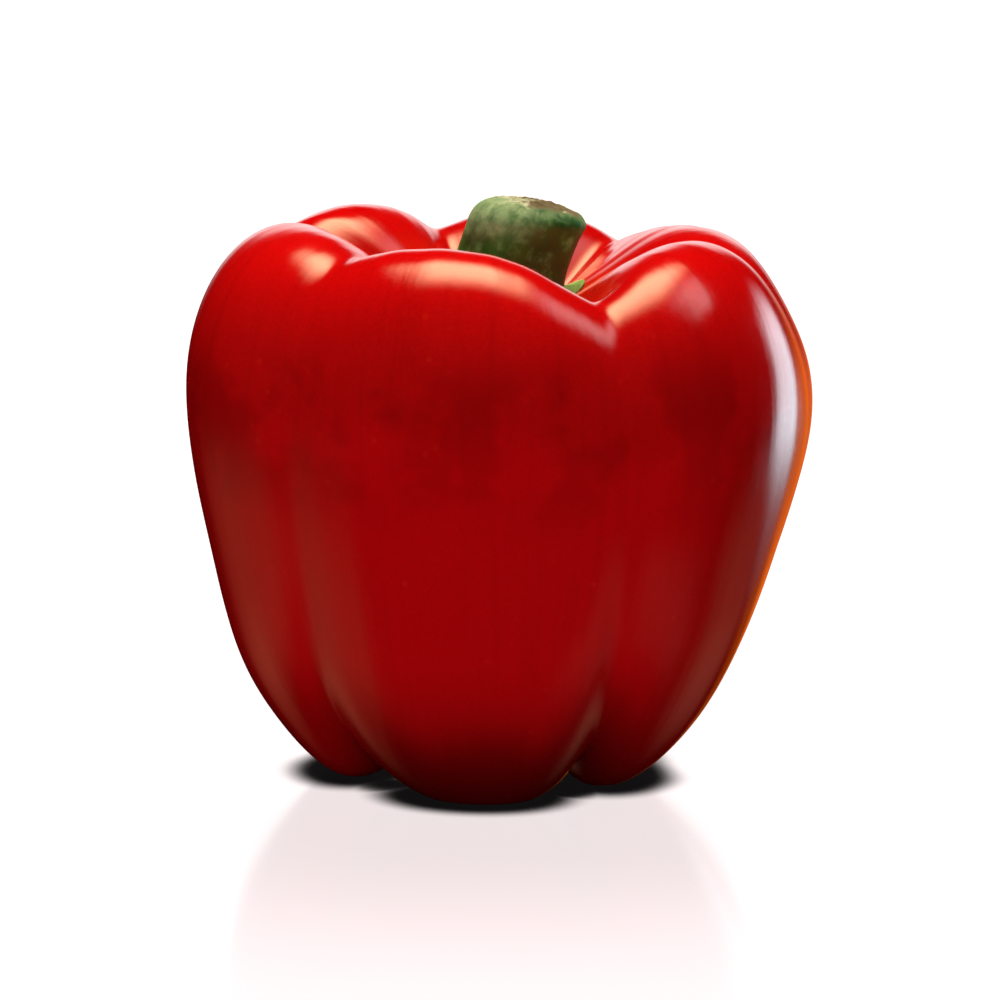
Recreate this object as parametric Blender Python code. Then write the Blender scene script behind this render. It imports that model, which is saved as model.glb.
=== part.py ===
"""Red bell pepper standing on its lobed foot: one solid fruit, its calyx and its cut stem.

Units are metres and +Z is up. The origin is on the surface that the pepper stands on, under
the middle of its bounding box. The front of the fruit faces -Y. Azimuths are in degrees,
measured round Z from the front, -Y, towards +X.
"""

from collections import namedtuple

import bmesh
import bpy
import numpy as np

MM = 0.001

# Driving dimensions
FRUIT_WIDTH = 90 * MM
FRUIT_HEIGHT = 80.9 * MM
CAVITY_DEPTH = 11 * MM
BLOSSOM_DIMPLE = 8 * MM
STEM_THICKNESS = 15.6 * MM
STEM_HEIGHT = 10.4 * MM
STEM_LEAN = 4.3 * MM
CALYX_RADIUS = 12.9 * MM
CLEARANCE = 0.35 * MM

HALF_WIDTH = FRUIT_WIDTH / 2
CAVITY_FLOOR = FRUIT_HEIGHT - CAVITY_DEPTH

# The lobes, one line each. reach, crest and foot are radii as shares of HALF_WIDTH: of the
# widest level, of the top ridge and of the lowest point. heel and shoulder are the share of
# reach that is left low and high on the wall. top and lift are heights as shares of
# FRUIT_HEIGHT: of the top ridge and of the lowest point. The foot of a lobe has its own azimuth.
Lobe = namedtuple("Lobe", "azimuth foot_azimuth reach heel shoulder top crest foot lift")
LOBES = (
    Lobe(-10, -5, 0.967, 0.840, 0.935, 0.998, 0.600, 0.42, 0.000),
    Lobe(50, 62, 0.993, 0.810, 0.930, 0.993, 0.622, 0.37, 0.003),
    Lobe(108, 112, 1.032, 0.755, 0.885, 0.984, 0.595, 0.37, 0.034),
    Lobe(172, 172, 0.956, 0.820, 0.935, 1.003, 0.578, 0.45, -0.009),
    Lobe(-130, -136, 0.978, 0.820, 0.935, 1.017, 0.556, 0.38, 0.014),
    Lobe(-80, -86, 1.010, 0.850, 0.930, 1.006, 0.622, 0.46, 0.005),
)
# How sharply a lobe's own figures give way to the next lobe's
LOBE_FOCUS = 9.0

# The furrows between the lobes. The azimuths and widths, in degrees, are for the crown and for
# the foot. The depths are shares of HALF_WIDTH: at the foot, low on the wall, at mid height, on
# the shoulder, on the crest and in the cavity.
Furrow = namedtuple("Furrow", "azimuth foot_azimuth width foot_width foot low wall shoulder crest cavity")
FURROWS = (
    Furrow(25, 34, 14, 6, 0.090, 0.045, 0.022, 0.089, 0.222, 0.09),
    Furrow(84, 84, 10, 8, 0.011, 0.008, 0.012, 0.030, 0.072, 0.045),
    Furrow(144, 144, 14, 7, 0.090, 0.050, 0.035, 0.070, 0.130, 0.09),
    Furrow(-161, -161, 14, 7, 0.090, 0.050, 0.035, 0.070, 0.118, 0.09),
    Furrow(-105, -105, 10, 7, 0.016, 0.014, 0.020, 0.050, 0.105, 0.06),
    Furrow(-43, -54, 13, 6, 0.085, 0.055, 0.038, 0.044, 0.078, 0.067),
)
# How round the bottom of a furrow is, as a share of its width
FURROW_ROUNDNESS = 0.22
# The stretch of the profile, from 0 at the base to 1 in the cavity, where a furrow changes over
# from its foot's azimuth and width to its crown's
FURROW_TURN_START = 0.18
FURROW_TURN_END = 0.48

# How strongly the feet are rounded sideways: the rise of the base at 90 degrees from their centre
FOOT_DOME = 11 * MM
# The height that the feet lose where they settle flat on the surface
SOLE = 1.0 * MM

# The stretch of the profile that holds the stem cavity, and how finely it is searched
CAVITY_START = 0.8
CAVITY_SAMPLES = 120

# Mesh density
FRUIT_COLUMNS = 72
FRUIT_RINGS = 54
CALYX_RINGS = 6
STEM_COLUMNS = 30
STEM_RINGS = 8

# Calyx: the teeth round its rim, with the rim's radius between them as a share of CALYX_RADIUS
CALYX_TEETH = 6
CALYX_TOOTH_AZIMUTH = 48
CALYX_BETWEEN_TEETH = 0.80
CALYX_THICKNESS = 1.8 * MM
CALYX_RIM_THICKNESS = 0.6 * MM
# The share of the way to the rim where the calyx starts to thin
CALYX_THINNING_START = 0.55

# Stem: its blunt corners, how far they stand out, its flare at the foot and its swell at the cut,
# the last three as shares of its radius
STEM_CORNERS = 5
STEM_CORNER_TURN = 8
STEM_CORNER_DEPTH = 0.05
STEM_FLARE = 0.10
STEM_SWELL = 0.03
STEM_FOOT_OFFSET = 0.9 * MM
STEM_CUT_SLOPE = 13


def mix(a, b, share):
    return a + (b - a) * share


def smooth_step(x):
    x = np.clip(x, 0, 1)
    return x * x * (3 - 2 * x)


def lobe_nearness(azimuth, centre_name):
    """Cosine of the turn from each lobe's centre: a row for each azimuth, a column for each lobe."""
    centres = np.radians([getattr(lobe, centre_name) for lobe in LOBES])
    return np.cos(np.radians(azimuth)[:, None] - centres)


def blended(azimuth, centre_name, value_name):
    """The lobes' value at each azimuth, weighted by how near each lobe's centre is."""
    values = np.array([getattr(lobe, value_name) for lobe in LOBES])
    weights = np.exp(LOBE_FOCUS * (lobe_nearness(azimuth, centre_name) - 1))
    return weights @ values / weights.sum(axis=1)


def dome_rise(azimuth):
    """How much the rounding of the feet lifts the base, away from each foot's centre."""
    away = 1 - lobe_nearness(azimuth, "foot_azimuth")
    weights = np.exp(-LOBE_FOCUS * away)
    return FOOT_DOME * (weights * away).sum(axis=1) / weights.sum(axis=1)


def b_spline(controls, at):
    """Points of the uniform cubic B-spline through rows of controls, at 0 to len(controls) - 3."""
    row = np.minimum(at.astype(int), len(controls) - 4)
    f = at - row
    basis = ((1 - f) ** 3, 3 * f**3 - 6 * f**2 + 4, -3 * f**3 + 3 * f**2 + 3 * f + 1, f**3)
    return sum(b[:, None] * controls[row + k] for k, b in enumerate(basis)) / 6


def profile_controls(azimuth):
    """Radii and heights that steer the profile, from the blossom dimple to the cavity floor."""
    reach, heel, shoulder, top, crest = (
        blended(azimuth, "azimuth", name) for name in ("reach", "heel", "shoulder", "top", "crest")
    )
    foot = HALF_WIDTH * blended(azimuth, "foot_azimuth", "foot")
    lift = FRUIT_HEIGHT * blended(azimuth, "foot_azimuth", "lift") + dome_rise(azimuth)
    reach = HALF_WIDTH * reach
    crest = HALF_WIDTH * crest
    top = FRUIT_HEIGHT * top
    heel_radius = heel * reach
    centre = np.zeros_like(reach)
    dimple = centre + BLOSSOM_DIMPLE
    cavity = centre + CAVITY_FLOOR
    steers = (
        (centre, dimple),
        (0.40 * foot, dimple),
        (0.68 * foot, lift + 2.6 * MM),
        (0.98 * foot, lift - 0.9 * MM),
        (mix(foot, heel_radius, 0.30), lift + 0.6 * MM),
        (mix(foot, heel_radius, 0.69), 0.108 * top + 0.6 * lift),
        (heel_radius, 0.235 * top + 0.3 * lift),
        (mix(heel_radius, reach, 0.47), 0.40 * top),
        (mix(heel_radius, reach, 0.86), 0.57 * top),
        (1.012 * reach, 0.74 * top),
        (shoulder * reach, 0.90 * top),
        (mix(crest, reach, 0.46), 0.99 * top),
        (crest, 1.015 * top),
        (0.70 * crest, 0.955 * top),
        (0.42 * crest, cavity + 0.5 * MM),
        (0.20 * crest, cavity),
        (centre, cavity),
    )
    return np.array([s[0] for s in steers]), np.array([s[1] for s in steers])


def mirrored_ends(controls, sign):
    """Adds a row beyond each end, so that the spline crosses the axis level."""
    return np.vstack([sign * controls[1], controls, sign * controls[-2]])


def furrow_depth(furrow, at):
    """Depth of a furrow along the profile, from the blossom dimple to the cavity floor."""
    foot, low, wall, shoulder, crest, cavity = furrow[4:]
    depths = (
        0,
        0.25 * foot,
        0.70 * foot,
        foot,
        foot,
        mix(foot, low, 0.5),
        low,
        mix(low, wall, 0.6),
        wall,
        mix(wall, shoulder, 0.45),
        shoulder,
        mix(shoulder, crest, 0.6),
        crest,
        mix(crest, cavity, 0.4),
        cavity,
        0.3 * cavity,
        0,
    )
    column = HALF_WIDTH * np.array(depths)[:, None]
    return b_spline(mirrored_ends(column, 1), at * (len(depths) - 1))


def furrow_section(furrow, azimuth, at):
    """Share of the furrow's depth at each point: 1 in its middle, rounded, 0 far from it."""
    rise = smooth_step((at[:, None] - FURROW_TURN_START) / (FURROW_TURN_END - FURROW_TURN_START))
    centre = mix(furrow.foot_azimuth, furrow.azimuth, rise)
    width = mix(furrow.foot_width, furrow.width, rise)
    off = ((azimuth - centre + 180) % 360 - 180) / width
    return np.exp(FURROW_ROUNDNESS - np.hypot(off, FURROW_ROUNDNESS))


def fruit_profile(azimuth, at):
    """Radii and heights of the skin, one row for each value of at, one column for each azimuth."""
    radii, heights = profile_controls(azimuth)
    steps = at * (len(radii) - 1)
    radius = b_spline(mirrored_ends(radii, -1), steps)
    height = b_spline(mirrored_ends(heights, 1), steps)
    along_radius = np.gradient(radius, axis=0)
    along_height = np.gradient(height, axis=0)
    length = np.hypot(along_radius, along_height)
    depth = sum(furrow_depth(f, at) * furrow_section(f, azimuth, at) for f in FURROWS)
    radius = radius - depth * along_height / length
    height = height + depth * along_radius / length
    return radius, np.maximum(height - SOLE, 0)


def around_axis(azimuth, radius, height):
    turn = np.radians(azimuth)
    height = np.broadcast_to(height, radius.shape)
    return np.stack([radius * np.sin(turn), -radius * np.cos(turn), height], axis=-1)


def columns(count):
    return np.arange(count) * 360 / count


def cavity_height(azimuth, radius):
    """Height of the skin in the stem cavity, at each azimuth's own row of radii."""
    at = np.linspace(CAVITY_START, 1, CAVITY_SAMPLES)
    skin_radius, skin_height = fruit_profile(azimuth, at)
    found = [
        np.interp(radius[:, k], skin_radius[::-1, k], skin_height[::-1, k])
        for k in range(len(azimuth))
    ]
    return np.array(found).T


def closed_mesh(name, rings, first, last):
    """A closed skin through rings of points, low to high, with a point at each end."""
    mesh = bmesh.new()
    start = mesh.verts.new(first)
    loops = [[mesh.verts.new(point) for point in ring] for ring in rings]
    end = mesh.verts.new(last)
    count = len(loops[0])
    for k in range(count):
        after = (k + 1) % count
        mesh.faces.new((start, loops[0][after], loops[0][k]))
        for lower, upper in zip(loops, loops[1:]):
            mesh.faces.new((lower[k], lower[after], upper[after], upper[k]))
        mesh.faces.new((loops[-1][k], loops[-1][after], end))
    data = bpy.data.meshes.new(name)
    mesh.to_mesh(data)
    mesh.free()
    return data


def add_object(name, data, material, sharp_angle):
    data.shade_smooth()
    data.set_sharp_from_angle(angle=np.radians(sharp_angle))
    data.materials.append(material)
    piece = bpy.data.objects.new(name, data)
    bpy.context.scene.collection.objects.link(piece)
    return piece


def principled(name, colour, roughness):
    material = bpy.data.materials.new(name)
    material.use_nodes = True
    shader = material.node_tree.nodes["Principled BSDF"]
    shader.inputs["Base Color"].default_value = (*colour, 1)
    shader.inputs["Roughness"].default_value = roughness
    shader.inputs["Metallic"].default_value = 0
    return material


def make_fruit():
    """The lobed berry, with its feet flattened where they rest, closed down into the cavity."""
    azimuth = columns(FRUIT_COLUMNS)
    at = np.linspace(0, 1, FRUIT_RINGS + 2)
    radius, height = fruit_profile(azimuth, at)
    rings = around_axis(azimuth, radius[1:-1], height[1:-1])
    first = (0, 0, height[0, 0])
    last = (0, 0, height[-1, 0])
    data = closed_mesh("fruit", rings, first, last)
    return add_object("fruit", data, principled("red_skin", (0.42, 0.006, 0.008), 0.18), 60)


def calyx_outline(azimuth):
    """Radius of the calyx rim, drawn out into short pointed teeth."""
    wave = np.abs(np.cos(np.radians(azimuth - CALYX_TOOTH_AZIMUTH) * CALYX_TEETH / 2))
    return CALYX_RADIUS * mix(CALYX_BETWEEN_TEETH, 1, wave**3)


def calyx_underside():
    return CAVITY_FLOOR - SOLE + CLEARANCE


def calyx_plateau():
    return calyx_underside() + CALYX_THICKNESS


def make_calyx():
    """The green cap under the stem: a flat middle that thins to teeth lying on the skin."""
    azimuth = columns(FRUIT_COLUMNS)
    share = np.linspace(0, 1, CALYX_RINGS + 1)[1:]
    radius = share[:, None] * calyx_outline(azimuth)
    under = cavity_height(azimuth, radius) + CLEARANCE
    thinned = (share[:, None] - CALYX_THINNING_START) / (1 - CALYX_THINNING_START)
    thickness_left = 1 - smooth_step(thinned)
    rim = under + CALYX_RIM_THICKNESS
    over = np.maximum(mix(rim, calyx_plateau(), thickness_left), rim)
    rings = np.concatenate(
        [around_axis(azimuth, radius, under), around_axis(azimuth, radius[::-1], over[::-1])]
    )
    data = closed_mesh("calyx", rings, (0, 0, calyx_underside()), (0, 0, calyx_plateau()))
    return add_object("calyx", data, principled("calyx_green", (0.10, 0.17, 0.03), 0.5), 50)


def stem_radius(azimuth, share):
    """Stem section: five blunt corners, a flare at the foot and a slight swell at the cut."""
    turn = np.radians(STEM_CORNERS * (azimuth + STEM_CORNER_TURN))
    corners = 1 + STEM_CORNER_DEPTH * np.cos(turn)
    flare = 1 + STEM_FLARE * (1 - share) ** 3 + STEM_SWELL * share**4
    return STEM_THICKNESS / 2 * corners * flare


def make_stem():
    """The cut stem: it leans towards +X, and its cut slopes down the same way."""
    azimuth = columns(STEM_COLUMNS)
    foot = calyx_plateau() + CLEARANCE
    cut_slope = np.tan(np.radians(STEM_CUT_SLOPE))
    rings = []
    for share in np.linspace(0, 1, STEM_RINGS):
        ring = around_axis(azimuth, stem_radius(azimuth, share), 0)
        ring[:, 2] = foot + share * STEM_HEIGHT - share * cut_slope * ring[:, 0]
        ring[:, 0] += STEM_FOOT_OFFSET + share * STEM_LEAN
        rings.append(ring)
    middle = np.array(rings).mean(axis=1)
    data = closed_mesh("stem", rings, middle[0], middle[-1])
    return add_object("stem", data, principled("stem_green", (0.09, 0.13, 0.03), 0.55), 40)


def centre_over_origin(pieces):
    """Moves the meshes together, so that the middle of their box is on the Z axis."""
    corners = np.array([v.co for piece in pieces for v in piece.data.vertices])
    middle = (corners.min(axis=0) + corners.max(axis=0)) / 2
    for piece in pieces:
        for vertex in piece.data.vertices:
            vertex.co.x -= middle[0]
            vertex.co.y -= middle[1]


def main():
    for old in list(bpy.data.objects):
        bpy.data.objects.remove(old, do_unlink=True)
    centre_over_origin([make_fruit(), make_calyx(), make_stem()])


main()
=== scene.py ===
"""Looks of the red bell pepper: its skin, calyx and cut stem, with the floor, lights and camera.

Units are metres and +Z is up. The front of the pepper faces -Y. Azimuths are in degrees,
measured round Z from the front, -Y, towards +X.
"""

from collections import namedtuple

import bpy
import numpy as np
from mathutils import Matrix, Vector, noise


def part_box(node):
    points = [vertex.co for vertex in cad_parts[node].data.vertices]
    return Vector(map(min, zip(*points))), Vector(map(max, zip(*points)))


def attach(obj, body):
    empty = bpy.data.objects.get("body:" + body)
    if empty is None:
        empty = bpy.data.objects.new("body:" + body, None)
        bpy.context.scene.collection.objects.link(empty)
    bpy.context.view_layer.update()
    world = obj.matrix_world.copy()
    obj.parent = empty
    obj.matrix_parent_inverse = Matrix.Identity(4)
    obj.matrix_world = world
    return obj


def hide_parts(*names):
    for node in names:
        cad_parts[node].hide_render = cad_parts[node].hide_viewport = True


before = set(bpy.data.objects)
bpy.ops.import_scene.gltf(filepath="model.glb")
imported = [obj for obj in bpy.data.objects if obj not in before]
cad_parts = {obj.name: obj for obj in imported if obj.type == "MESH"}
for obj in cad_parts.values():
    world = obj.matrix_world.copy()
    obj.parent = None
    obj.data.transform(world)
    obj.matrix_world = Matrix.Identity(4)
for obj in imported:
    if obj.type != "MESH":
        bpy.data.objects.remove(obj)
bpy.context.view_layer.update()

MM = 0.001

# ---------------------------------------------------------------------------------------
# Shape of the fruit: the same lobes, furrows and profile as the CAD solid, finely sampled
# ---------------------------------------------------------------------------------------

FRUIT_WIDTH = 90 * MM
FRUIT_HEIGHT = 80.9 * MM
CAVITY_DEPTH = 11 * MM
BLOSSOM_DIMPLE = 8 * MM
SOLE = 1.0 * MM
HALF_WIDTH = FRUIT_WIDTH / 2
CAVITY_FLOOR = FRUIT_HEIGHT - CAVITY_DEPTH

Lobe = namedtuple("Lobe", "azimuth foot_azimuth reach heel shoulder top crest foot lift")
LOBES = (
    Lobe(-10, -5, 0.967, 0.840, 0.935, 0.998, 0.600, 0.42, 0.000),
    Lobe(50, 62, 0.993, 0.810, 0.930, 0.993, 0.622, 0.37, 0.003),
    Lobe(108, 112, 1.032, 0.755, 0.885, 0.984, 0.595, 0.37, 0.034),
    Lobe(172, 172, 0.956, 0.820, 0.935, 1.003, 0.578, 0.45, -0.009),
    Lobe(-130, -136, 0.978, 0.820, 0.935, 1.017, 0.556, 0.38, 0.014),
    Lobe(-80, -86, 1.010, 0.850, 0.930, 1.006, 0.622, 0.46, 0.005),
)
# How sharply one lobe takes over from the next, and how much each foot is domed
LOBE_FOCUS = 9.0
FOOT_DOME = 11 * MM

FURROW_FIELDS = "azimuth foot_azimuth width foot_width foot low wall shoulder crest cavity"
Furrow = namedtuple("Furrow", FURROW_FIELDS)
FURROWS = (
    Furrow(25, 34, 14, 6, 0.090, 0.045, 0.022, 0.089, 0.222, 0.09),
    Furrow(84, 84, 10, 8, 0.011, 0.008, 0.012, 0.030, 0.072, 0.045),
    Furrow(144, 144, 14, 7, 0.090, 0.050, 0.035, 0.070, 0.130, 0.09),
    Furrow(-161, -161, 14, 7, 0.090, 0.050, 0.035, 0.070, 0.118, 0.09),
    Furrow(-105, -105, 10, 7, 0.016, 0.014, 0.020, 0.050, 0.105, 0.06),
    Furrow(-43, -54, 13, 6, 0.085, 0.055, 0.038, 0.044, 0.078, 0.067),
)
FURROW_ROUNDNESS = 0.22
# The stretch of the profile, from 0 at the dimple to 1, over which a furrow swings from its
# azimuth and width at the foot to those at the crown
FURROW_TURN_START = 0.18
FURROW_TURN_END = 0.48

# Where the stem cavity begins along the profile, and the samples that find its height
CAVITY_START = 0.8
CAVITY_SAMPLES = 120

SKIN_COLUMNS = 384
SKIN_RINGS = 250
# The CAD solid's own mesh, whose box sets where the pepper's middle is
CAD_COLUMNS = 72
CAD_RINGS = 56


def mix(a, b, share):
    return a + (b - a) * share


def smooth_step(x):
    x = np.clip(x, 0, 1)
    return x * x * (3 - 2 * x)


def lobe_nearness(azimuth, centre_name):
    """Cosine of the turn from each lobe's centre: a row for each azimuth, a column for each lobe."""
    centres = np.radians([getattr(lobe, centre_name) for lobe in LOBES])
    return np.cos(np.radians(azimuth)[:, None] - centres)


def blended(azimuth, centre_name, value_name):
    """The lobes' value at each azimuth, weighted by how near each lobe's centre is."""
    values = np.array([getattr(lobe, value_name) for lobe in LOBES])
    weights = np.exp(LOBE_FOCUS * (lobe_nearness(azimuth, centre_name) - 1))
    return weights @ values / weights.sum(axis=1)


def dome_rise(azimuth):
    """How much the rounding of the feet lifts the base, away from each foot's centre."""
    away = 1 - lobe_nearness(azimuth, "foot_azimuth")
    weights = np.exp(-LOBE_FOCUS * away)
    return FOOT_DOME * (weights * away).sum(axis=1) / weights.sum(axis=1)


def b_spline(controls, at):
    """Points of the uniform cubic B-spline through rows of controls, at 0 to len(controls) - 3."""
    row = np.minimum(at.astype(int), len(controls) - 4)
    f = at - row
    basis = ((1 - f) ** 3, 3 * f**3 - 6 * f**2 + 4, -3 * f**3 + 3 * f**2 + 3 * f + 1, f**3)
    return sum(b[:, None] * controls[row + k] for k, b in enumerate(basis)) / 6


def profile_controls(azimuth):
    """Radii and heights that steer the profile, from the blossom dimple to the cavity floor."""
    reach, heel, shoulder, top, crest = (
        blended(azimuth, "azimuth", name) for name in ("reach", "heel", "shoulder", "top", "crest")
    )
    foot = HALF_WIDTH * blended(azimuth, "foot_azimuth", "foot")
    lift = FRUIT_HEIGHT * blended(azimuth, "foot_azimuth", "lift") + dome_rise(azimuth)
    reach = HALF_WIDTH * reach
    crest = HALF_WIDTH * crest
    top = FRUIT_HEIGHT * top
    heel_radius = heel * reach
    centre = np.zeros_like(reach)
    dimple = centre + BLOSSOM_DIMPLE
    cavity = centre + CAVITY_FLOOR
    steers = (
        (centre, dimple),
        (0.40 * foot, dimple),
        (0.68 * foot, lift + 2.6 * MM),
        (0.98 * foot, lift - 0.9 * MM),
        (mix(foot, heel_radius, 0.30), lift + 0.6 * MM),
        (mix(foot, heel_radius, 0.69), 0.108 * top + 0.6 * lift),
        (heel_radius, 0.235 * top + 0.3 * lift),
        (mix(heel_radius, reach, 0.47), 0.40 * top),
        (mix(heel_radius, reach, 0.86), 0.57 * top),
        (1.012 * reach, 0.74 * top),
        (shoulder * reach, 0.90 * top),
        (mix(crest, reach, 0.46), 0.99 * top),
        (crest, 1.015 * top),
        (0.70 * crest, 0.955 * top),
        (0.42 * crest, cavity + 0.5 * MM),
        (0.20 * crest, cavity),
        (centre, cavity),
    )
    return np.array([s[0] for s in steers]), np.array([s[1] for s in steers])


def mirrored_ends(controls, sign):
    """Adds a row beyond each end, so that the spline crosses the axis level."""
    return np.vstack([sign * controls[1], controls, sign * controls[-2]])


def furrow_depth(furrow, at):
    """Depth of a furrow along the profile, from the blossom dimple to the cavity floor."""
    foot, low, wall, shoulder, crest, cavity = furrow[4:]
    depths = (
        0,
        0.25 * foot,
        0.70 * foot,
        foot,
        foot,
        mix(foot, low, 0.5),
        low,
        mix(low, wall, 0.6),
        wall,
        mix(wall, shoulder, 0.45),
        shoulder,
        mix(shoulder, crest, 0.6),
        crest,
        mix(crest, cavity, 0.4),
        cavity,
        0.3 * cavity,
        0,
    )
    column = HALF_WIDTH * np.array(depths)[:, None]
    return b_spline(mirrored_ends(column, 1), at * (len(depths) - 1))


def furrow_section(furrow, azimuth, at):
    """Share of the furrow's depth at each point: 1 in its middle, rounded, 0 far from it."""
    rise = smooth_step((at[:, None] - FURROW_TURN_START) / (FURROW_TURN_END - FURROW_TURN_START))
    centre = mix(furrow.foot_azimuth, furrow.azimuth, rise)
    width = mix(furrow.foot_width, furrow.width, rise)
    off = ((azimuth - centre + 180) % 360 - 180) / width
    return np.exp(FURROW_ROUNDNESS - np.hypot(off, FURROW_ROUNDNESS))


def fruit_profile(azimuth, at):
    """Radii, heights and furrow depths of the skin: a row for each at, a column for each azimuth."""
    radii, heights = profile_controls(azimuth)
    steps = at * (len(radii) - 1)
    radius = b_spline(mirrored_ends(radii, -1), steps)
    height = b_spline(mirrored_ends(heights, 1), steps)
    along_radius = np.gradient(radius, axis=0)
    along_height = np.gradient(height, axis=0)
    length = np.hypot(along_radius, along_height)
    depth = sum(furrow_depth(f, at) * furrow_section(f, azimuth, at) for f in FURROWS)
    radius = radius - depth * along_height / length
    height = height + depth * along_radius / length
    return radius, height - SOLE, depth


def around_axis(azimuth, radius, height):
    """Points at those azimuths, radii and heights round the pepper's core."""
    turn = np.radians(azimuth)
    height = np.broadcast_to(height, radius.shape)
    return np.stack([radius * np.sin(turn), -radius * np.cos(turn), height], axis=-1)


def columns(count):
    """Evenly spread azimuths round the whole turn."""
    return np.arange(count) * 360 / count


def cavity_height(azimuth, radius):
    """Height of the skin in the stem cavity, at each azimuth's own row of radii."""
    at = np.linspace(CAVITY_START, 1, CAVITY_SAMPLES)
    skin_radius, skin_height, _ = fruit_profile(azimuth, at)
    found = [
        np.interp(radius[:, k], skin_radius[::-1, k], skin_height[::-1, k])
        for k in range(len(azimuth))
    ]
    return np.array(found).T


# ---------------------------------------------------------------------------------------
# Mesh helpers
# ---------------------------------------------------------------------------------------


def noise_at(points, size, seed=0):
    """Smooth noise from about -1 to 1, at each point, with features of about that size."""
    offset = Vector((seed * 7.31, seed * 3.17, seed * 5.53))
    flat = points.reshape(-1, 3) / size
    values = [noise.noise(Vector(p) + offset) for p in flat]
    return np.array(values).reshape(points.shape[:-1])


def grid_normals(points):
    """Outward unit normals of rings of points that close round the axis."""
    along = np.gradient(points, axis=0)
    around = (np.roll(points, -1, axis=1) - np.roll(points, 1, axis=1)) / 2
    normals = np.cross(around, along)
    return normals / np.maximum(np.linalg.norm(normals, axis=-1, keepdims=True), 1e-12)


def closed_mesh(name, rings, first, last):
    """A closed skin through rings of points, low to high, with a point at each end."""
    ring_count, count = rings.shape[:2]
    points = np.vstack([[first], rings.reshape(-1, 3), [last]])
    index = 1 + np.arange(ring_count * count).reshape(ring_count, count)
    after = np.roll(index, -1, axis=1)
    quads = np.stack([index[:-1], after[:-1], after[1:], index[1:]], axis=-1).reshape(-1, 4)
    end = len(points) - 1
    faces = [(0, after[0, k], index[0, k]) for k in range(count)]
    faces += [tuple(quad) for quad in quads]
    faces += [(index[-1, k], after[-1, k], end) for k in range(count)]
    data = bpy.data.meshes.new(name)
    data.from_pydata(points.tolist(), [], [tuple(int(i) for i in face) for face in faces])
    data.shade_smooth()
    return data


def add_attribute(data, name, rings, first, last):
    """Stores one number for each point of a closed_mesh."""
    values = np.concatenate([[first], np.asarray(rings, float).ravel(), [last]])
    data.attributes.new(name, "FLOAT", "POINT").data.foreach_set("value", values)


def add_piece(name, data, material, node):
    """Adds a visible piece that stands in for a CAD node."""
    data.materials.append(material)
    piece = bpy.data.objects.new(name, data)
    bpy.context.scene.collection.objects.link(piece)
    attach(piece, "root")
    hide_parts(node)
    return piece


def fit_to_box(points, node):
    """Scales points, by well under one percent, so that they fill the CAD node's own box."""
    low, high = (np.array(corner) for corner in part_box(node))
    flat = points.reshape(-1, 3)
    share = (points - flat.min(axis=0)) / (flat.max(axis=0) - flat.min(axis=0))
    return low + share * (high - low)


# ---------------------------------------------------------------------------------------
# Materials
# ---------------------------------------------------------------------------------------


class Nodes:
    """Builds one material's node tree with short calls."""

    def __init__(self, name):
        self.material = bpy.data.materials.new(name)
        self.material.use_nodes = True
        self.tree = self.material.node_tree
        self.shader = self.tree.nodes["Principled BSDF"]

    def link(self, source, target):
        """Feeds a socket from another socket or with a plain value."""
        if hasattr(source, "is_output"):
            self.tree.links.new(source, target)
        else:
            target.default_value = source

    def add(self, kind, **settings):
        node = self.tree.nodes.new(kind)
        for key, value in settings.items():
            setattr(node, key, value)
        return node

    def attribute(self, name):
        return self.add("ShaderNodeAttribute", attribute_name=name).outputs["Fac"]

    def vector_attribute(self, name):
        return self.add("ShaderNodeAttribute", attribute_name=name).outputs["Vector"]

    def position(self):
        return self.add("ShaderNodeTexCoord").outputs["Object"]

    def along(self, vector, axis):
        """One axis of a vector."""
        node = self.add("ShaderNodeSeparateXYZ")
        self.link(vector, node.inputs[0])
        return node.outputs[axis]

    def noise(self, vector, scale, detail=3.0, roughness=0.5):
        node = self.add("ShaderNodeTexNoise")
        self.link(vector, node.inputs["Vector"])
        node.inputs["Scale"].default_value = scale
        node.inputs["Detail"].default_value = detail
        node.inputs["Roughness"].default_value = roughness
        return node.outputs["Fac"]

    def cells(self, vector, scale):
        """Distance to the nearest of many scattered points."""
        node = self.add("ShaderNodeTexVoronoi", feature="F1")
        self.link(vector, node.inputs["Vector"])
        node.inputs["Scale"].default_value = scale
        return node.outputs["Distance"]

    def ramp(self, value, start, end, low=0.0, high=1.0):
        """Smooth change from low to high as value goes from start to end."""
        node = self.add("ShaderNodeMapRange", interpolation_type="SMOOTHSTEP")
        self.link(value, node.inputs["Value"])
        node.inputs["From Min"].default_value = start
        node.inputs["From Max"].default_value = end
        node.inputs["To Min"].default_value = low
        node.inputs["To Max"].default_value = high
        return node.outputs["Result"]

    def math(self, operation, a, b=0.0):
        node = self.add("ShaderNodeMath", operation=operation)
        self.link(a, node.inputs[0])
        self.link(b, node.inputs[1])
        return node.outputs[0]

    def colour_mix(self, share, a, b):
        """Colour a turned into colour b by a share from 0 to 1."""
        node = self.add("ShaderNodeMix", data_type="RGBA")
        self.link(share, node.inputs["Factor"])
        self.link(a if hasattr(a, "is_output") else (*a, 1), node.inputs["A"])
        self.link(b if hasattr(b, "is_output") else (*b, 1), node.inputs["B"])
        return node.outputs["Result"]

    def bump(self, height, distance, strength=1.0, before=None):
        node = self.add("ShaderNodeBump")
        node.inputs["Distance"].default_value = distance
        node.inputs["Strength"].default_value = strength
        self.link(height, node.inputs["Height"])
        if before is not None:
            self.link(before, node.inputs["Normal"])
        return node.outputs["Normal"]


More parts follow.
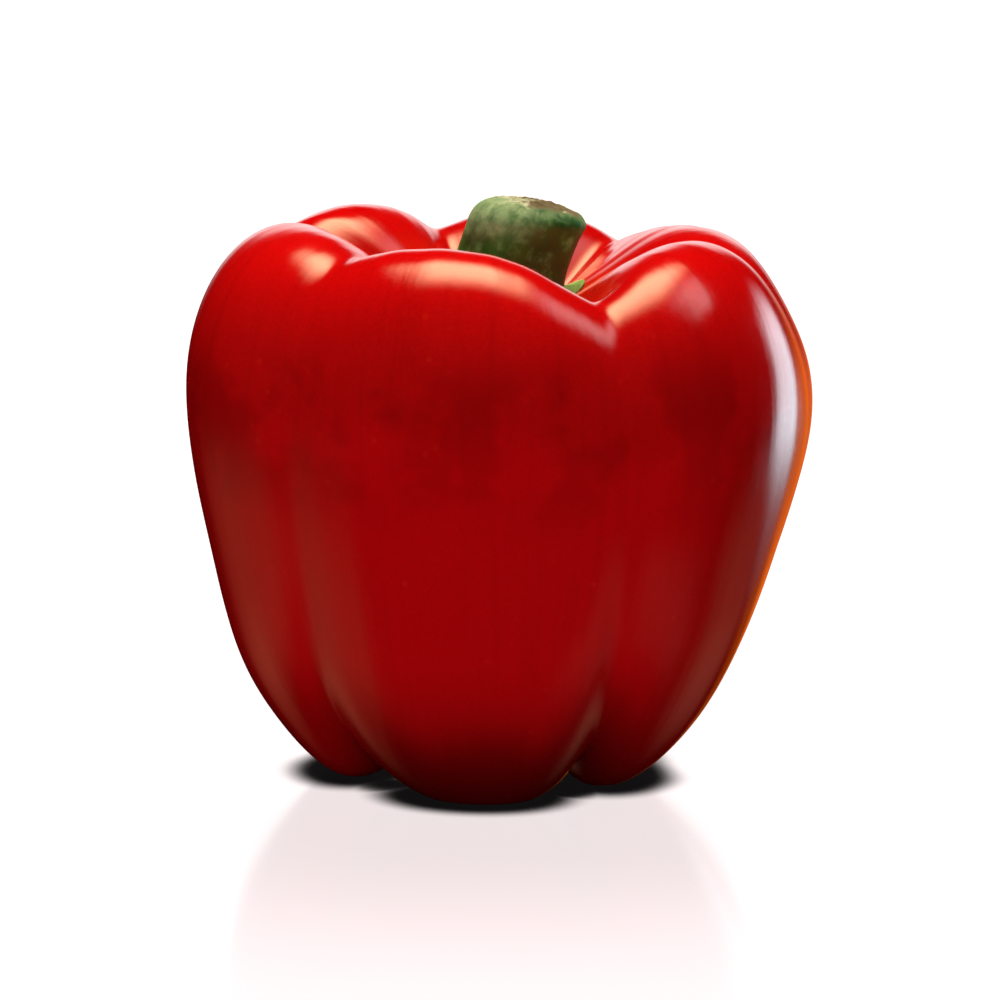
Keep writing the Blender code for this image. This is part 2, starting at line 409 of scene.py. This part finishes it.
SKIN_LOW = (0.335, 0.0004, 0.0011)
# Lighter red high up and orange in the crown: partly the skin's tone, partly painted light from above
# and behind
SKIN_HIGH_TONE_AND_LIGHT = (0.430, 0.0013, 0.0010)
SKIN_CAVITY_TONE_AND_GLOW = (0.560, 0.014, 0.0022)
SKIN_STREAK = (0.210, 0.0003, 0.0008)
# Painted shade in the furrows
SKIN_FURROW_SHADE = (0.230, 0.0008, 0.0008)
# Painted shade for the dark band below the crown
SKIN_BAND_SHADE = (0.200, 0.0003, 0.0006)
SKIN_PORE = (0.200, 0.0003, 0.0008)
# Painted shade on the feet, near the floor
SKIN_FOOT_PAINTED_SHADE = (0.030, 0.0002, 0.0003)
SKIN_SPECKLE = (0.62, 0.030, 0.010)
SKIN_SCAR = (0.20, 0.09, 0.035)


def skin_material():
    """Waxy red skin: deep red on the wall, lighter and more orange in the crown partly by painted
    light, and painted shade on the feet, in the furrows and in a band below the crown.
    """
    n = Nodes("waxy_red_skin")
    place = n.position()
    grain = n.vector_attribute("grain")
    height = n.attribute("height_share")
    furrow = n.attribute("furrow")
    cavity = n.attribute("cavity")
    scar = n.attribute("blossom_scar")

    cloudy = n.noise(place, 45, detail=2)
    streaks = n.noise(grain, 22, detail=4, roughness=0.55)
    fine = n.noise(place, 900, detail=2)

    # The red of each zone, lighter towards the top and orange in the crown, partly the skin's own tone
    # and partly painted light, with streaks along the grain
    level = n.math("ADD", height, n.ramp(cloudy, 0.3, 0.7, -0.06, 0.06))
    colour = n.colour_mix(n.ramp(level, 0.55, 1.0), SKIN_LOW, SKIN_HIGH_TONE_AND_LIGHT)
    colour = n.colour_mix(n.ramp(cavity, 0.0, 1.0, 0.0, 0.8), colour, SKIN_CAVITY_TONE_AND_GLOW)
    colour = n.colour_mix(n.ramp(streaks, 0.45, 0.75, 0.0, 0.22), colour, SKIN_STREAK)
    # Painted shade: darker red deep in the furrows
    colour = n.colour_mix(n.ramp(furrow, 0.2, 1.0, 0.0, 0.25), colour, SKIN_FURROW_SHADE)

    # A belt of dark blotches below the crown, painted shade across the wall, and pores all over
    blotches = n.noise(place, 75, detail=3, roughness=0.6)
    belt = n.math("MULTIPLY", n.ramp(height, 0.48, 0.60), n.ramp(height, 0.86, 0.72))
    band_shade = n.math("MULTIPLY", n.ramp(blotches, 0.40, 0.60), n.math("MULTIPLY", belt, 0.60))
    colour = n.colour_mix(band_shade, colour, SKIN_BAND_SHADE)
    pores = n.noise(place, 2400, detail=1)
    colour = n.colour_mix(n.ramp(pores, 0.35, 0.65, 0.0, 0.20), colour, SKIN_PORE)

    # Painted shade: feet darker than the wall, the middle ones most
    across = n.math("ABSOLUTE", n.along(place, "X"))
    most = n.ramp(across, 12 * MM, 28 * MM, 0.90, 0.35)
    shade = n.math("MULTIPLY", n.ramp(height, 0.30, 0.00), most)
    colour = n.colour_mix(shade, colour, SKIN_FOOT_PAINTED_SHADE)

    # A few tiny bright speckles, and the scar at the blossom end
    dots = n.cells(place, 330)
    sparse = n.noise(place, 90, detail=1)
    speckle = n.math("MULTIPLY", n.ramp(dots, 0.20, 0.08), n.ramp(sparse, 0.52, 0.66, 0.0, 0.10))
    colour = n.colour_mix(speckle, colour, SKIN_SPECKLE)
    colour = n.colour_mix(scar, colour, SKIN_SCAR)
    n.link(colour, n.shader.inputs["Base Color"])

    gloss = n.math("ADD", n.ramp(cloudy, 0.25, 0.75, 0.12, 0.17), n.ramp(fine, 0.3, 0.8, 0.0, 0.04))
    n.link(n.math("ADD", gloss, n.math("MULTIPLY", scar, 0.4)), n.shader.inputs["Roughness"])
    n.shader.inputs["IOR"].default_value = 1.46

    normal = n.bump(streaks, 0.12 * MM, 0.25)
    normal = n.bump(fine, 0.02 * MM, 0.4, normal)
    n.link(normal, n.shader.inputs["Normal"])
    return n.material


# Deep, fresh and pale green
CALYX_GREENS = ((0.10, 0.19, 0.03), (0.20, 0.32, 0.06), (0.42, 0.52, 0.16))
STEM_GREENS = ((0.004, 0.036, 0.004), (0.022, 0.110, 0.012), (0.115, 0.245, 0.065))
# Painted light on the stem's -X side
TISSUE_PAINTED_LIGHT = (0.20, 0.27, 0.12)
CUT_DULL = (0.17, 0.165, 0.075)
CUT_PALE = (0.40, 0.38, 0.25)
CUT_BROWN = (0.060, 0.036, 0.012)


def cut_face_colour(n, place, aside):
    """Pale, flecked pith with dark brown patches, more of them towards +X."""
    flecks = n.noise(place, 700, detail=3, roughness=0.7)
    face = n.colour_mix(n.ramp(flecks, 0.35, 0.65), CUT_DULL, CUT_PALE)
    dark_patches = n.noise(place, 260, detail=3, roughness=0.6)
    dark_patches = n.math("ADD", dark_patches, n.ramp(aside, 1 * MM, 8 * MM, -0.05, 0.12))
    return n.colour_mix(n.ramp(dark_patches, 0.50, 0.60, 0.0, 0.92), face, CUT_BROWN)


def green_material(name, deep, fresh, pale):
    """Mottled green tissue. The cut attribute turns it into the pale cut face with dark brown patches.
    """
    n = Nodes(name)
    place = n.position()
    grain = n.vector_attribute("grain")
    cut = n.attribute("cut")

    mottle = n.noise(place, 420, detail=4, roughness=0.6)
    patches = n.noise(place, 120, detail=2)
    fibres = n.noise(grain, 30, detail=4, roughness=0.6)
    colour = n.colour_mix(n.ramp(patches, 0.3, 0.7), deep, fresh)
    colour = n.colour_mix(n.ramp(mottle, 0.45, 0.75, 0.0, 0.7), colour, pale)
    colour = n.colour_mix(n.ramp(fibres, 0.5, 0.8, 0.0, 0.4), colour, deep)

    # Painted light: paler towards -X on the stem's upper end, which bends away from -X
    aside = n.along(place, "X")
    raised = n.ramp(n.along(place, "Z"), 76 * MM, 81.5 * MM)
    painted_lit = n.math("MULTIPLY", n.ramp(aside, 9 * MM, -2 * MM), raised)
    painted_lit = n.math("MULTIPLY", painted_lit, n.ramp(mottle, 0.30, 0.60, 0.30, 0.85))
    colour = n.colour_mix(painted_lit, colour, TISSUE_PAINTED_LIGHT)

    # The green gives way to the cut face in a ragged line
    edge = n.math("ADD", cut, n.ramp(mottle, 0.3, 0.7, -0.28, 0.28))
    edge = n.math("ADD", edge, n.ramp(patches, 0.3, 0.7, -0.15, 0.15))
    shown = n.ramp(edge, 0.15, 0.75)
    face = cut_face_colour(n, place, aside)
    n.link(n.colour_mix(shown, colour, face), n.shader.inputs["Base Color"])

    rough = n.math("ADD", n.ramp(mottle, 0.3, 0.7, 0.42, 0.58), n.math("MULTIPLY", shown, 0.25))
    n.link(rough, n.shader.inputs["Roughness"])
    normal = n.bump(fibres, 0.3 * MM, 0.6)
    normal = n.bump(mottle, 0.15 * MM, 0.6, normal)
    n.link(normal, n.shader.inputs["Normal"])
    n.shader.inputs["Subsurface Weight"].default_value = 0.08
    n.shader.inputs["Subsurface Radius"].default_value = (0.4, 1.0, 0.2)
    n.shader.inputs["Subsurface Scale"].default_value = 1.5 * MM
    return n.material


# ---------------------------------------------------------------------------------------
# Fruit
# ---------------------------------------------------------------------------------------


def grain_vectors(azimuth, at, around, along):
    """Texture coordinates stretched along the fruit, so that noise on them draws streaks."""
    turn = np.radians(azimuth)[None, :] + 0 * at[:, None]
    run = np.broadcast_to(at[:, None] * along, turn.shape)
    return np.stack([around * np.cos(turn), around * np.sin(turn), run], axis=-1)


def add_vectors(data, name, rings, first, last):
    """Stores one vector for each point of a closed_mesh."""
    values = np.vstack([[first], rings.reshape(-1, 3), [last]])
    data.attributes.new(name, "FLOAT_VECTOR", "POINT").data.foreach_set("vector", values.ravel())


# Unevenness of the skin: how far it reaches out or in, and for the swellings how long they are
SWELL = 0.28 * MM
SWELL_SIZE = 17 * MM
RIPPLE = 0.10 * MM
PLEAT = 0.10 * MM

# Where the orange of the stem cavity, partly painted glow, begins along the profile, and the length it
# fades over
CAVITY_COLOUR_START = 0.78
CAVITY_COLOUR_FADE = 0.1

SCAR_RADIUS = 1.2 * MM
SCAR_FADE = 0.8 * MM
# Depth at which a furrow has its full painted shade
FURROW_FULL_DEPTH = 5 * MM
# Height and cavity share that the skin's two end points take
DIMPLE_HEIGHT_SHARE = 0.1
CAVITY_HEIGHT_SHARE = 0.85


def skin_relief(points, azimuth, at):
    """How far the skin swells in or out: broad swellings, ripples on the wall, pleats in the crown."""
    wall = smooth_step((at - 0.25) / 0.1) * smooth_step((0.95 - at) / 0.1)
    crown = smooth_step((at - 0.83) / 0.05) * smooth_step((1.0 - at) / 0.04)
    swell = SWELL * noise_at(points, SWELL_SIZE, seed=1)
    ripple = RIPPLE * noise_at(grain_vectors(azimuth, at, 9, 1.6), 1, seed=2) * wall[:, None]
    pleats = PLEAT * noise_at(grain_vectors(azimuth, at, 5, 3), 1, seed=3) * crown[:, None]
    return swell + ripple + pleats


def make_skin():
    """The whole red skin, filling the CAD fruit's box."""
    azimuth = columns(SKIN_COLUMNS)
    at = np.linspace(0, 1, SKIN_RINGS + 2)
    radius, height, depth = fruit_profile(azimuth, at)
    points = around_axis(azimuth, radius, height)
    points = points + grid_normals(points) * skin_relief(points, azimuth, at)[..., None]
    points[..., 2] = np.maximum(points[..., 2], 0)
    points = fit_to_box(points, "fruit")
    first, last = points[0].mean(axis=0), points[-1].mean(axis=0)
    inner = slice(1, -1)
    data = closed_mesh("fruit_skin", points[inner], first, last)

    height_share = np.clip(points[inner, :, 2] / FRUIT_HEIGHT, 0, 1)
    add_attribute(data, "height_share", height_share, DIMPLE_HEIGHT_SHARE, CAVITY_HEIGHT_SHARE)
    furrow = np.clip(depth[inner] / FURROW_FULL_DEPTH, 0, 1)
    add_attribute(data, "furrow", furrow, 0, 0)
    in_cavity = smooth_step((at[inner] - CAVITY_COLOUR_START) / CAVITY_COLOUR_FADE)
    add_attribute(data, "cavity", in_cavity[:, None] + 0 * azimuth, 1, 1)
    scar = 1 - smooth_step((radius[inner] - SCAR_RADIUS) / SCAR_FADE)
    scar = scar * (at[inner] < 0.5)[:, None]
    add_attribute(data, "blossom_scar", scar, 1, 0)
    grain = grain_vectors(azimuth, at[inner], 1, 0.25)
    on_axis = (0, 0, 1)
    add_vectors(data, "grain", grain, grain[0, 0] * on_axis, grain[-1, 0] * on_axis)
    return add_piece("fruit_skin", data, skin_material(), "fruit")


# ---------------------------------------------------------------------------------------
# Calyx and stem
# ---------------------------------------------------------------------------------------

CALYX_RADIUS = 12.9 * MM
CALYX_BETWEEN_TEETH = 0.80
CALYX_TEETH = 6
CALYX_TOOTH_AZIMUTH = 48
CALYX_COLUMNS = 240
CALYX_RINGS = 36
CALYX_GAP = 0.05 * MM
CALYX_THICKNESS = 0.55 * MM
CALYX_RIB = 0.25 * MM
CALYX_LUMP = 0.12 * MM
CALYX_LUMP_SIZE = 1.6 * MM
# Height of the calyx's middle over the cavity's floor, and how far out it begins to fall
CALYX_MIDDLE_HEIGHT = 2.2 * MM
CALYX_MIDDLE_SHARE = 0.45
# Share of its outline that the calyx keeps, so that it stays inside the CAD calyx
CALYX_INSET = 0.995

STEM_RADIUS = 7.7 * MM
STEM_CORNERS = 5
STEM_CORNER_TURN = 8
STEM_CORNER_DEPTH = 0.055
STEM_CORNER_FLATNESS = 0.015
STEM_FLARE = 0.10
STEM_SWELL = 0.03
STEM_COLUMNS = 220
STEM_RINGS = 60
STEM_BEND_RINGS = 15
STEM_CUT_RINGS = 24
STEM_FOOT_HEIGHT = 1.9 * MM
STEM_FOOT_OFFSET = 0.9 * MM
STEM_LEAN = 4.3 * MM
STEM_CUT_SLOPE = np.tan(np.radians(13))
# Room that the slope of the cut takes up over the middle of the cut
STEM_CUT_RISE = 1.5 * MM
STEM_CUT_CROWN = 0.35 * MM
# Radius of the shoulder on the +X side and on the -X side, and how far it goes in for its height
STEM_SHOULDER_RIGHT = 2.0 * MM
STEM_SHOULDER_LEFT = 3.4 * MM
STEM_SHOULDER_INSET = 1.25
# How much of the cut's look the rim has: the shoulder fades it in up to there
STEM_CUT_AT_RIM = 0.8


def centred(points):
    """Moves points by what centres the fruit's box over the origin in the CAD solid."""
    azimuth = columns(CAD_COLUMNS)
    radius, height, _ = fruit_profile(azimuth, np.linspace(0, 1, CAD_RINGS))
    outline = around_axis(azimuth, radius, height).reshape(-1, 3)
    middle = (outline.min(axis=0) + outline.max(axis=0)) / 2
    return points - middle * (1, 1, 0)


def calyx_outline(azimuth):
    """Radius of the calyx's rim, with a blunt tooth at regular turns."""
    wave = np.abs(np.cos(np.radians(azimuth - CALYX_TOOTH_AZIMUTH) * CALYX_TEETH / 2))
    return CALYX_RADIUS * (CALYX_BETWEEN_TEETH + (1 - CALYX_BETWEEN_TEETH) * wave**3)


def make_calyx(green):
    """The green cap on the cavity's floor: raised round the stem, thin and ribbed at its teeth."""
    azimuth = columns(CALYX_COLUMNS)
    share = np.linspace(0, 1, CALYX_RINGS + 1)[1:]
    out = share[:, None]
    radius = out * calyx_outline(azimuth) * CALYX_INSET
    under = cavity_height(azimuth, radius) + CALYX_GAP
    plateau = CAVITY_FLOOR - SOLE + CALYX_MIDDLE_HEIGHT
    middle = 1 - smooth_step((out - CALYX_MIDDLE_SHARE) / 0.5)
    ribs = CALYX_RIB * np.cos(np.radians(azimuth - CALYX_TOOTH_AZIMUTH) * CALYX_TEETH)
    rim = under + CALYX_THICKNESS + ribs * out * (1 - out)
    over = np.maximum(mix(rim, plateau, middle), rim)
    lumps = noise_at(around_axis(azimuth, radius, over), CALYX_LUMP_SIZE, seed=5)
    over = over + CALYX_LUMP * lumps * (1 - out**6)
    lower = around_axis(azimuth, radius, under)
    upper = around_axis(azimuth, radius[::-1], over[::-1])
    rings = centred(np.concatenate([lower, upper]))
    data = closed_mesh("calyx_cap", rings, rings[0].mean(axis=0), rings[-1].mean(axis=0))
    add_attribute(data, "cut", np.zeros(rings.shape[:2]), 0, 0)
    grain = grain_vectors(azimuth, np.concatenate([share, share[::-1]]), 1, 0.2)
    add_vectors(data, "grain", grain, grain[0, 0], grain[-1, 0])
    return add_piece("calyx_cap", data, green, "calyx")


def stem_rings(azimuth, foot, side):
    """Rings of the stem from its foot to the middle of the cut, each with two numbers.

    The first number says how much of the cut's look the ring has, the second how far up it lies.
    """
    turn = np.radians(azimuth)
    corner = STEM_CORNERS * (turn + np.radians(STEM_CORNER_TURN))
    section = 1 + STEM_CORNER_DEPTH * np.cos(corner) + STEM_CORNER_FLATNESS * np.cos(2 * corner)
    shoulder = mix(STEM_SHOULDER_RIGHT, STEM_SHOULDER_LEFT, 0.5 - 0.5 * np.sin(turn))
    rings, cuts, runs = [], [], []

    def add_ring(radius, rise, cut, run):
        share = np.clip(rise / side, 0, None)
        ring = around_axis(azimuth, radius, 0)
        ring[:, 2] = foot + rise - np.clip(share, 0, 1) * STEM_CUT_SLOPE * ring[:, 0]
        ring[:, 0] += STEM_FOOT_OFFSET + share * STEM_LEAN
        rings.append(ring)
        cuts.append(np.zeros(len(azimuth)) + cut)
        runs.append(run)

    for share in np.linspace(0, 1, STEM_RINGS):
        flare = 1 + STEM_FLARE * (1 - share) ** 3 + STEM_SWELL * share**4
        add_ring(STEM_RADIUS * section * flare, share * (side - shoulder), 0, share)
    outer = STEM_RADIUS * section * (1 + STEM_SWELL)
    for share in np.linspace(0, 1, STEM_BEND_RINGS)[1:]:
        bend = share * np.pi / 2
        inset = STEM_SHOULDER_INSET * shoulder * (1 - np.cos(bend))
        rise = side - shoulder + shoulder * np.sin(bend)
        add_ring(outer - inset, rise, share**2 * STEM_CUT_AT_RIM, 1)
    rim = outer - STEM_SHOULDER_INSET * shoulder
    for share in np.linspace(0, 1, STEM_CUT_RINGS)[1:-1]:
        rise = side + STEM_CUT_CROWN * smooth_step(share * 1.5)
        add_ring(rim * (1 - share), rise, mix(STEM_CUT_AT_RIM, 1, share), 1)
    return np.array(rings), np.array(cuts), np.array(runs)


def stem_relief(rings, azimuth, cuts, runs):
    """Fibres and lumps on the sides, and a torn surface on the cut."""
    fibre = 0.12 * MM * noise_at(grain_vectors(azimuth, runs, 6, 1.5), 1, seed=6)
    lumps = 0.22 * MM * noise_at(rings, 3.5 * MM, seed=7)
    torn = 0.30 * MM * (noise_at(rings, 0.9 * MM, seed=8) + noise_at(rings, 2.2 * MM, seed=9))
    return (fibre + lumps) * (1 - cuts) + torn * cuts


def make_stem(green):
    """The cut stem: blunt corners, a rounded shoulder and a small, torn cut with dark brown patches on
    top.
    """
    azimuth = columns(STEM_COLUMNS)
    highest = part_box("stem")[1][2]
    foot = CAVITY_FLOOR - SOLE + STEM_FOOT_HEIGHT
    rings, cuts, runs = stem_rings(azimuth, foot, highest - STEM_CUT_RISE - foot)
    relief = stem_relief(rings, azimuth, cuts, runs)
    rings = centred(rings + grid_normals(rings) * relief[..., None])
    rings[..., 2] = np.minimum(rings[..., 2], highest)
    data = closed_mesh("stem_cut", rings, rings[0].mean(axis=0), rings[-1].mean(axis=0))
    add_attribute(data, "cut", cuts, 0, 1)
    grain = grain_vectors(azimuth, runs, 1, 0.25)
    add_vectors(data, "grain", grain, grain[0, 0], grain[-1, 0])
    return add_piece("stem_cut", data, green, "stem")


# ---------------------------------------------------------------------------------------
# Floor, lights and camera
# ---------------------------------------------------------------------------------------

# What the lights face, on the pepper's core
LIT_MIDDLE = Vector((0, 0, 45 * MM))

FLOOR_HALF = 4
# A pinkish white, a painted reflection of the red pepper, which shows where the glow is low near it
FLOOR_PAINTED_PINK_WHITE = (1.0, 0.90, 0.905, 1.0)
# How near the pepper comes to the floor where a painted shadow darkens it
FLOOR_PAINTED_SHADOW_REACH = 5.6 * MM
# The floor's glow near the pepper and further out, and the distances between which it rises; the lower
# glow near the pepper is painted shade
FLOOR_GLOW_NEAR = 1.12
FLOOR_GLOW_FAR = 1.45
FLOOR_GLOW_START = 45 * MM
FLOOR_GLOW_END = 130 * MM
FLOOR_MIRROR_SHARE = 0.25
FLOOR_MIRROR_ROUGHNESS = 0.14

CAMERA_LENS = 149.8
CAMERA_DISTANCE = 0.6
CAMERA_ELEVATION = 10
CAMERA_TARGET = Vector((-0.1 * MM, 0.5 * MM, 39.3 * MM))


def direction(azimuth, elevation):
    """Unit vector towards that azimuth, from -Y towards +X, and elevation."""
    a, e = np.radians(azimuth), np.radians(elevation)
    return Vector((np.sin(a) * np.cos(e), -np.cos(a) * np.cos(e), np.sin(e)))


def add_lamp(name, light, lights_up):
    """A lamp that only diffuse shading sees, and only on the pieces it is meant for."""
    light.cycles.use_multiple_importance_sampling = False
    lamp = bpy.data.objects.new(name, light)
    bpy.context.scene.collection.objects.link(lamp)
    lamp.visible_camera = False
    lamp.visible_glossy = False
    lamp.light_linking.receiver_collection = lights_up
    return lamp


def aim(thing, target, azimuth, elevation, distance):
    """Puts a lamp or camera that way and that far from a target, and turns it to face it."""
    thing.location = target + distance * direction(azimuth, elevation)
    thing.rotation_euler = (target - thing.location).to_track_quat("-Z", "Y").to_euler()


def softbox(name, azimuth, elevation, distance, width, height, radiance, colour, lights_up):
    """A rectangular light that faces the middle of the pepper."""
    light = bpy.data.lights.new(name, "AREA")
    light.shape = "RECTANGLE"
    light.size = width
    light.size_y = height
    light.energy = radiance * np.pi * width * height
    light.color = colour
    aim(add_lamp(name, light, lights_up), LIT_MIDDLE, azimuth, elevation, distance)


def group(name, pieces):
    """A collection of pieces that a light can be limited to."""
    members = bpy.data.collections.new(name)
    for piece in pieces:
        members.objects.link(piece)
    return members


def make_lights(pepper):
    """Soft lights on the pepper alone, from overhead behind, from in front and from the sides."""
    on_pepper = group("lit_by_studio", pepper)
    # Azimuth, elevation, distance, width, height, radiance and colour
    softbox("key", 176, 74, 0.9, 0.6, 0.6, 17.0, (1.0, 0.94, 0.86), on_pepper)
    softbox("front_fill", -8, 9, 1.1, 1.5, 0.4, 3.7, (1.0, 0.98, 0.96), on_pepper)
    softbox("left_fill", -72, 4, 1.1, 0.8, 0.4, 4.0, (1.0, 0.97, 0.93), on_pepper)
    softbox("right_fill", 62, 3, 1.1, 0.8, 0.4, 3.8, (1.0, 0.97, 0.93), on_pepper)
    softbox("back_fill", 176, 12, 1.2, 1.2, 0.4, 1.5, (1.0, 0.96, 0.92), on_pepper)
    softbox("right_window", 138, 5, 1.0, 0.25, 0.6, 3.0, (0.95, 0.97, 1.0), on_pepper)
    softbox("left_window", -128, 5, 1.0, 0.25, 0.6, 1.6, (1.0, 0.95, 0.90), on_pepper)


class WorldNodes:
    """Builds the world's node tree with short calls."""

    def __init__(self):
        world = bpy.data.worlds.new("studio")
        bpy.context.scene.world = world
        world.use_nodes = True
        world.cycles.sampling_method = "NONE"
        self.tree = world.node_tree
        self.background = self.tree.nodes["Background"]

    def add(self, kind, inputs, **settings):
        node = self.tree.nodes.new(kind)
        for key, value in settings.items():
            setattr(node, key, value)
        for socket, value in inputs.items():
            if hasattr(value, "is_output"):
                self.tree.links.new(value, node.inputs[socket])
            else:
                node.inputs[socket].default_value = value
        return node

    def math(self, operation, a, b=0.0):
        return self.add("ShaderNodeMath", {0: a, 1: b}, operation=operation).outputs[0]

    def ramp(self, value, start, end, low=0.0, high=1.0):
        inputs = {"Value": value, "From Min": start, "From Max": end, "To Min": low, "To Max": high}
        node = self.add("ShaderNodeMapRange", inputs, interpolation_type="SMOOTHSTEP")
        return node.outputs["Result"]

    def window(self, across, up, left, right, bottom, top, softness):
        """1 inside a rectangle of the two coordinates, falling to 0 over the softness outside it."""
        sides = self.math(
            "MULTIPLY",
            self.ramp(across, left - softness, left + softness),
            self.ramp(across, right - softness, right + softness, 1.0, 0.0),
        )
        ends = self.math(
            "MULTIPLY",
            self.ramp(up, bottom - softness, bottom + softness),
            self.ramp(up, top - softness, top + softness, 1.0, 0.0),
        )
        return self.math("MULTIPLY", sides, ends)

    def tinted(self, share, colour, radiance):
        """Light of that colour and radiance, scaled by a share."""
        scaled = [channel * radiance for channel in colour]
        node = self.add("ShaderNodeVectorMath", {0: scaled, "Scale": share}, operation="SCALE")
        return node.outputs[0]

    def total(self, parts):
        """Sum of several lights."""
        result = parts[0]
        for part in parts[1:]:
            result = self.add("ShaderNodeVectorMath", {0: result, 1: part}, operation="ADD").outputs[0]
        return result

    def choose(self, switch, off, on):
        """One light while the switch is 0, the other while it is 1."""
        node = self.add("ShaderNodeMix", {"Factor": switch}, data_type="VECTOR")
        vectors = [socket for socket in node.inputs if socket.type == "VECTOR"]
        for socket, value in zip(vectors[-2:], (off, on)):
            if hasattr(value, "is_output"):
                self.tree.links.new(value, socket)
            else:
                socket.default_value = value
        return [socket for socket in node.outputs if socket.type == "VECTOR"][0]


def ceiling_panels(w, x, y, z):
    """Soft panels overhead, placed by how far they lie across and behind for one unit of height."""
    above = w.math("MAXIMUM", z, 0.02)
    across = w.math("DIVIDE", x, above)
    behind = w.math("DIVIDE", y, above)
    overhead = w.ramp(z, 0.0, 0.1)
    key = w.window(across, behind, -0.36, 0.32, -0.08, 0.50, 0.20)
    key = w.math("MULTIPLY", key, overhead)
    side = w.window(across, behind, 0.50, 1.35, -0.14, 0.32, 0.20)
    side = w.math("MULTIPLY", side, overhead)
    return [w.tinted(key, (1.0, 0.80, 0.46), 15.0), w.tinted(side, (1.0, 0.86, 0.83), 4.0)]


def wall_panels(w, x, y, z):
    """Soft panels and tables round the pepper, by degrees from straight behind and of elevation."""
    degrees = 180 / np.pi
    # Turn from straight behind, positive towards +X
    turn = w.math("MULTIPLY", w.math("ARCTAN2", x, y), degrees)
    up = w.math("MULTIPLY", w.math("ARCSINE", z), degrees)
    panels = (
        # left, right, bottom, top, softness, radiance, colour
        (-16, 16, 0, 20, 5, 1.35, (1.0, 0.96, 0.95)),
        (37, 58, -15, 13, 6, 5.0, (0.84, 0.92, 1.0)),
        (42, 68, -44, -24, 14, 0.5, (1.0, 0.46, 0.28)),
        (8, 34, -20, -2, 6, 1.25, (1.0, 0.18, 0.01)),
        (-104, -42, -42, -22, 16, 0.75, (1.0, 0.34, 0.18)),
        (84, 125, -48, -34, 8, 0.2, (1.0, 0.60, 0.45)),
    )
    ahead = w.ramp(w.math("ABSOLUTE", turn), 75, 125)
    table = w.math("MULTIPLY", ahead, w.window(turn, up, -400, 400, -66, -9, 9))
    shown = [w.tinted(w.window(turn, up, *panel[:5]), panel[6], panel[5]) for panel in panels]
    return shown + [w.tinted(table, (1.0, 0.004, 0.012), 1.5)]


def make_world():
    """White to the camera, a faint even light for diffuse rays, and dark with panels for gloss."""
    w = WorldNodes()
    path = w.tree.nodes.new("ShaderNodeLightPath")
    place = w.tree.nodes.new("ShaderNodeTexCoord")
    split = w.add("ShaderNodeSeparateXYZ", {0: place.outputs["Generated"]})
    x, y, z = split.outputs
    gloss = w.total(ceiling_panels(w, x, y, z) + wall_panels(w, x, y, z))
    diffuse = w.tinted(w.ramp(z, -0.60, 0.30, 0.10, 0.22), (1.0, 1.0, 1.0), 1.0)
    light = w.choose(path.outputs["Is Diffuse Ray"], gloss, diffuse)
    light = w.choose(path.outputs["Is Camera Ray"], light, (1.0, 1.0, 1.0))
    w.tree.links.new(light, w.background.inputs["Color"])
    w.background.inputs["Strength"].default_value = 1.0


def floor_material():
    """Glowing white with a faint mirror in it, a painted pink shade near the pepper and a painted
    black shadow where the feet nearly touch it.
    """
    n = Nodes("white_floor")
    open_sky = n.add("ShaderNodeAmbientOcclusion", samples=24)
    open_sky.inputs["Distance"].default_value = FLOOR_PAINTED_SHADOW_REACH
    # Painted contact shadow: glow and mirror fade to black where the pepper is near
    outside_painted_shadow = n.ramp(open_sky.outputs["AO"], 0.42, 0.99, 0.005, 1.0)

    place = n.position()
    away = n.add("ShaderNodeVectorMath", operation="LENGTH")
    n.link(place, away.inputs[0])
    glows = (FLOOR_GLOW_NEAR, FLOOR_GLOW_FAR)
    # Painted shade: the glow is lower near the pepper, so its pink shows there
    fading = n.ramp(away.outputs["Value"], FLOOR_GLOW_START, FLOOR_GLOW_END, *glows)
    haze = n.ramp(n.noise(place, 30, detail=2), 0, 1, 0.0, 0.02)

    glow = n.add("ShaderNodeEmission")
    glow.inputs["Color"].default_value = FLOOR_PAINTED_PINK_WHITE
    n.link(n.math("MULTIPLY", outside_painted_shadow, n.math("ADD", fading, haze)), glow.inputs["Strength"])
    mirror = n.add("ShaderNodeBsdfGlossy")
    mirror.inputs["Roughness"].default_value = FLOOR_MIRROR_ROUGHNESS
    both = n.add("ShaderNodeMixShader")
    n.link(n.math("MULTIPLY", outside_painted_shadow, FLOOR_MIRROR_SHARE), both.inputs[0])
    n.link(glow.outputs[0], both.inputs[1])
    n.link(mirror.outputs[0], both.inputs[2])
    n.link(both.outputs[0], n.tree.nodes["Material Output"].inputs["Surface"])
    n.tree.nodes.remove(n.shader)
    return n.material


def make_floor():
    """A large level square that only the camera sees."""
    half = FLOOR_HALF
    corners = [(-half, -half, 0), (half, -half, 0), (half, half, 0), (-half, half, 0)]
    data = bpy.data.meshes.new("floor")
    data.from_pydata(corners, [], [(0, 1, 2, 3)])
    data.materials.append(floor_material())
    floor = bpy.data.objects.new("floor", data)
    bpy.context.scene.collection.objects.link(floor)
    floor.visible_diffuse = False
    floor.visible_glossy = False


def make_camera():
    """In front and a little above, far enough away for a long portrait lens."""
    camera = bpy.data.cameras.new("camera")
    camera.sensor_width = 36
    camera.lens = CAMERA_LENS
    camera.clip_start = 10 * MM
    camera.dof.use_dof = False
    viewer = bpy.data.objects.new("camera", camera)
    bpy.context.scene.collection.objects.link(viewer)
    aim(viewer, CAMERA_TARGET, 0, CAMERA_ELEVATION, CAMERA_DISTANCE)
    bpy.context.scene.camera = viewer


def main():
    skin = make_skin()
    calyx = make_calyx(green_material("calyx_tissue", *CALYX_GREENS))
    stem = make_stem(green_material("stem_tissue", *STEM_GREENS))
    make_floor()
    make_lights([skin, calyx, stem])
    make_world()
    make_camera()
    bpy.context.scene.view_settings.view_transform = "Standard"


main()
